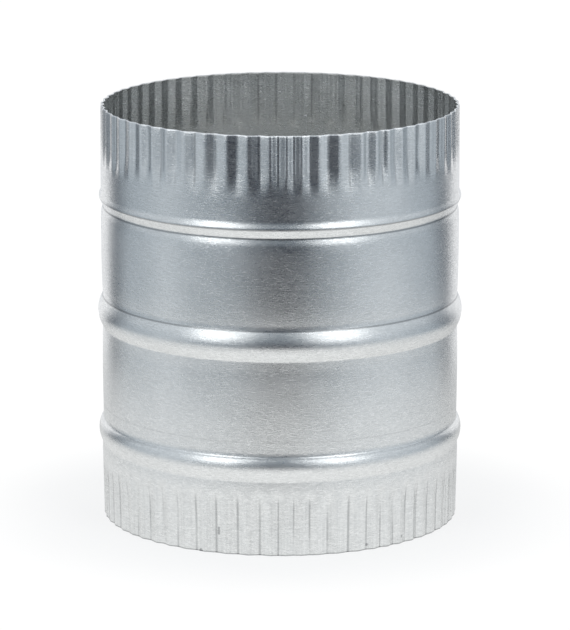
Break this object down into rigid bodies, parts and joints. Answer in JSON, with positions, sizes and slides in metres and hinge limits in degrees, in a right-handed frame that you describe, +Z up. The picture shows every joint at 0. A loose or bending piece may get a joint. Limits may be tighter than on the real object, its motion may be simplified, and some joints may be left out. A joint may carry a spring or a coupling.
{
  "type": "duct connector",
  "caption": "Round galvanised sheet-metal duct connector: a beaded sleeve with both ends crimped so they slip inside round ducts, and rolled rings that stop them.",
  "frame": {"origin": "centre of the lower rim, where the sleeve stands on its lower crimped end", "axes": "+Z up along the sleeve's axis towards the upper crimped end; the camera of the picture is on the -Y side, with +X to its right"},
  "size_m": [0.1552, 0.1552, 0.1778],
  "materials": {
    "galvanised_sheet": "satin zinc-coated steel sheet with a fine mottled grain"
  },
  "bodies": {
    "root": {"connector_sleeve": "galvanised_sheet"}
  },
  "joints": []
}
